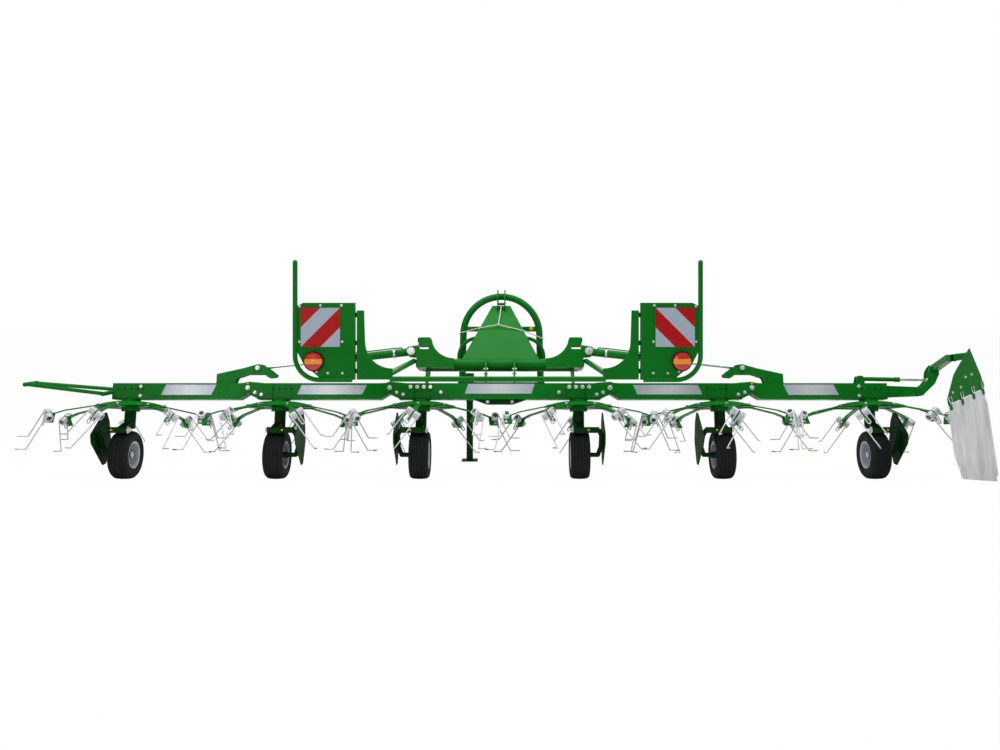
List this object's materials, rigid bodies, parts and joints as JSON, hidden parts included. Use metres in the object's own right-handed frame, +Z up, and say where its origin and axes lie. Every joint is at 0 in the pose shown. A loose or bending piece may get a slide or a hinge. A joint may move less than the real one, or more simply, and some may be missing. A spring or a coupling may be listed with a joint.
{
  "type": "hay tedder",
  "caption": "Tractor-mounted hay tedder with hinged wing beams, sprung-tine rotors on ground wheels, fold cylinders, a headstock hoop, lamp carriers and a side deflector.",
  "frame": {"origin": "on the ground under the middle of the machine", "axes": "+X to the machine's right seen from behind, +Y forward to the tractor, +Z up"},
  "size_m": [8.0773, 2.1056, 1.8],
  "materials": {
    "green_paint": "gloss",
    "dark_green_paint": "satin",
    "silver_paint": "satin",
    "spring_steel": "satin",
    "bright_steel": "bright",
    "chrome_rod": "polished",
    "tyre": "matte",
    "buffer": "matte",
    "board": "satin",
    "lamp": "gloss",
    "curtain": "matte",
    "cord": "matte"
  },
  "bodies": {
    "frame": {"main_beam": "green_paint", "gearbox": "dark_green_paint", "cross_tube": "green_paint", "headstock": "green_paint", "mast_plate": "green_paint", "pull_cord": "cord", "light_carrier": "green_paint", "light_panels": "green_paint", "warning_boards": "board", "rear_lamps": "lamp", "rubber_buffers": "buffer", "center_wheel_legs": "dark_green_paint"},
    "drive_input": {"pto_stub": "bright_steel"},
    "stand": {"parking_stand": "dark_green_paint"},
    "wing_left": {"inner_wing_left": "green_paint", "inner_wheel_leg_left": "dark_green_paint"},
    "wing_right": {"inner_wing_right": "green_paint", "inner_wheel_leg_right": "dark_green_paint"},
    "outer_left": {"outer_wing_left": "green_paint", "outer_wheel_leg_left": "dark_green_paint", "guard_bar": "green_paint"},
    "outer_right": {"outer_wing_right": "green_paint", "outer_wheel_leg_right": "dark_green_paint", "deflector_bracket": "green_paint"},
    "deflector": {"deflector_frame": "green_paint", "deflector_curtain": "curtain"},
    "deflector_cylinder": {"deflector_barrel": "green_paint"},
    "deflector_ram": {"deflector_rod": "chrome_rod"},
    "cylinder_left": {"fold_barrel_left": "green_paint"},
    "cylinder_right": {"fold_barrel_right": "green_paint"},
    "ram_left": {"fold_rod_left": "chrome_rod"},
    "ram_right": {"fold_rod_right": "chrome_rod"},
    "reel_1": {"rotor_1": "green_paint", "tines_1": "spring_steel"},
    "wheel_1": {"rim_1": "silver_paint", "tyre_1": "tyre"},
    "reel_2": {"rotor_2": "green_paint", "tines_2": "spring_steel"},
    "wheel_2": {"rim_2": "silver_paint", "tyre_2": "tyre"},
    "reel_3": {"rotor_3": "green_paint", "tines_3": "spring_steel"},
    "wheel_3": {"rim_3": "silver_paint", "tyre_3": "tyre"},
    "reel_4": {"rotor_4": "green_paint", "tines_4": "spring_steel"},
    "wheel_4": {"rim_4": "silver_paint", "tyre_4": "tyre"},
    "reel_5": {"rotor_5": "green_paint", "tines_5": "spring_steel"},
    "wheel_5": {"rim_5": "silver_paint", "tyre_5": "tyre"},
    "reel_6": {"rotor_6": "green_paint", "tines_6": "spring_steel"},
    "wheel_6": {"rim_6": "silver_paint", "tyre_6": "tyre"}
  },
  "joints": [
    {"name": "fold_left", "type": "hinge", "parent": "frame", "child": "wing_left", "pos_m": [-0.94, 0.05186, 0.75257], "axis": [0, 0.9848, -0.1736], "range_deg": [-4, 90]},
    {"name": "outer_fold_left", "type": "hinge", "parent": "wing_left", "child": "outer_left", "pos_m": [-2.15, 0.05186, 0.75257], "axis": [0, 0.9848, -0.1736], "range_deg": [-0.6, 12.1]},
    {"name": "cylinder_left_swing", "type": "hinge", "parent": "frame", "child": "cylinder_left", "pos_m": [-0.768, 0.10743, 1.06771], "axis": [0, 0.9848, -0.1736], "range_deg": [-4.4, 95.6]},
    {"name": "ram_left_slide", "type": "slide", "parent": "cylinder_left", "child": "ram_left", "axis": [-0.994, -0.019, -0.1077], "range_m": [-0.537, 0.0245]},
    {"name": "fold_right", "type": "hinge", "parent": "frame", "child": "wing_right", "pos_m": [0.94, 0.05186, 0.75257], "axis": [0, -0.9848, 0.1736], "range_deg": [-4, 90]},
    {"name": "outer_fold_right", "type": "hinge", "parent": "wing_right", "child": "outer_right", "pos_m": [2.15, 0.05186, 0.75257], "axis": [0, -0.9848, 0.1736], "range_deg": [-0.6, 12.1]},
    {"name": "cylinder_right_swing", "type": "hinge", "parent": "frame", "child": "cylinder_right", "pos_m": [0.768, 0.10743, 1.06771], "axis": [0, -0.9848, 0.1736], "range_deg": [-4.4, 95.6]},
    {"name": "ram_right_slide", "type": "slide", "parent": "cylinder_right", "child": "ram_right", "axis": [0.994, -0.019, -0.1077], "range_m": [-0.537, 0.0245]},
    {"name": "deflector_lift", "type": "hinge", "parent": "outer_right", "child": "deflector", "pos_m": [3.607, 0.047, 0.725], "axis": [0, -0.9848, 0.1736], "range_deg": [0, 85]},
    {"name": "deflector_cylinder_swing", "type": "hinge", "parent": "outer_right", "child": "deflector_cylinder", "pos_m": [3.1, 0.06645, 0.8353], "axis": [0, -0.9848, 0.1736], "range_deg": [-8, 8]},
    {"name": "deflector_ram_slide", "type": "slide", "parent": "deflector_cylinder", "child": "deflector_ram", "axis": [0.9998, -0.0035, -0.0197], "range_m": [-0.1855, 0.001]},
    {"name": "reel_1_spin", "type": "hinge", "parent": "outer_left", "child": "reel_1", "pos_m": [-3.17, 0.047, 0.725], "axis": [0, -0.1736, -0.9848], "continuous": true},
    {"name": "reel_2_spin", "type": "hinge", "parent": "wing_left", "child": "reel_2", "pos_m": [-1.885, 0.047, 0.725], "axis": [0, 0.1736, 0.9848], "continuous": true},
    {"name": "reel_3_spin", "type": "hinge", "parent": "frame", "child": "reel_3", "pos_m": [-0.675, 0.047, 0.725], "axis": [0, -0.1736, -0.9848], "continuous": true},
    {"name": "reel_4_spin", "type": "hinge", "parent": "frame", "child": "reel_4", "pos_m": [0.675, 0.047, 0.725], "axis": [0, 0.1736, 0.9848], "continuous": true},
    {"name": "reel_5_spin", "type": "hinge", "parent": "wing_right", "child": "reel_5", "pos_m": [1.885, 0.047, 0.725], "axis": [0, -0.1736, -0.9848], "continuous": true},
    {"name": "reel_6_spin", "type": "hinge", "parent": "outer_right", "child": "reel_6", "pos_m": [3.17, 0.047, 0.725], "axis": [0, 0.1736, 0.9848], "continuous": true},
    {"name": "drive_input_spin", "type": "hinge", "parent": "frame", "child": "drive_input", "pos_m": [0, 0.36706, 0.66856], "axis": [0, 0.9848, -0.1736], "continuous": true},
    {"name": "wheel_1_spin", "type": "hinge", "parent": "outer_left", "child": "wheel_1", "pos_m": [-3.17, -0.083, 0.2025], "axis": [1, 0, 0], "continuous": true},
    {"name": "wheel_2_spin", "type": "hinge", "parent": "wing_left", "child": "wheel_2", "pos_m": [-1.885, -0.083, 0.2025], "axis": [1, 0, 0], "continuous": true},
    {"name": "wheel_3_spin", "type": "hinge", "parent": "frame", "child": "wheel_3", "pos_m": [-0.675, -0.083, 0.2025], "axis": [1, 0, 0], "continuous": true},
    {"name": "wheel_4_spin", "type": "hinge", "parent": "frame", "child": "wheel_4", "pos_m": [0.675, -0.083, 0.2025], "axis": [1, 0, 0], "continuous": true},
    {"name": "wheel_5_spin", "type": "hinge", "parent": "wing_right", "child": "wheel_5", "pos_m": [1.885, -0.083, 0.2025], "axis": [1, 0, 0], "continuous": true},
    {"name": "wheel_6_spin", "type": "hinge", "parent": "outer_right", "child": "wheel_6", "pos_m": [3.17, -0.083, 0.2025], "axis": [1, 0, 0], "continuous": true},
    {"name": "stand_slide", "type": "slide", "parent": "frame", "child": "stand", "axis": [0, 0, 1], "range_m": [0, 0.3]}
  ],
  "couplings": [
    {"joint": "outer_fold_left", "follows": "fold_left", "ratio": 0.13333},
    {"joint": "cylinder_left_swing", "follows": "fold_left", "ratio": 1.0584},
    {"joint": "ram_left_slide", "follows": "fold_left", "m_per_rad": -0.34047},
    {"joint": "outer_fold_right", "follows": "fold_right", "ratio": 0.13333},
    {"joint": "cylinder_right_swing", "follows": "fold_right", "ratio": 1.0584},
    {"joint": "ram_right_slide", "follows": "fold_right", "m_per_rad": -0.34047},
    {"joint": "deflector_cylinder_swing", "follows": "deflector_lift", "ratio": -0.003776},
    {"joint": "deflector_ram_slide", "follows": "deflector_lift", "m_per_rad": -0.12436},
    {"joint": "reel_1_spin", "follows": "reel_3_spin", "ratio": 1},
    {"joint": "reel_2_spin", "follows": "reel_3_spin", "ratio": 1},
    {"joint": "reel_4_spin", "follows": "reel_3_spin", "ratio": 1},
    {"joint": "reel_5_spin", "follows": "reel_3_spin", "ratio": 1},
    {"joint": "reel_6_spin", "follows": "reel_3_spin", "ratio": 1},
    {"joint": "drive_input_spin", "follows": "reel_3_spin", "ratio": 3}
  ]
}
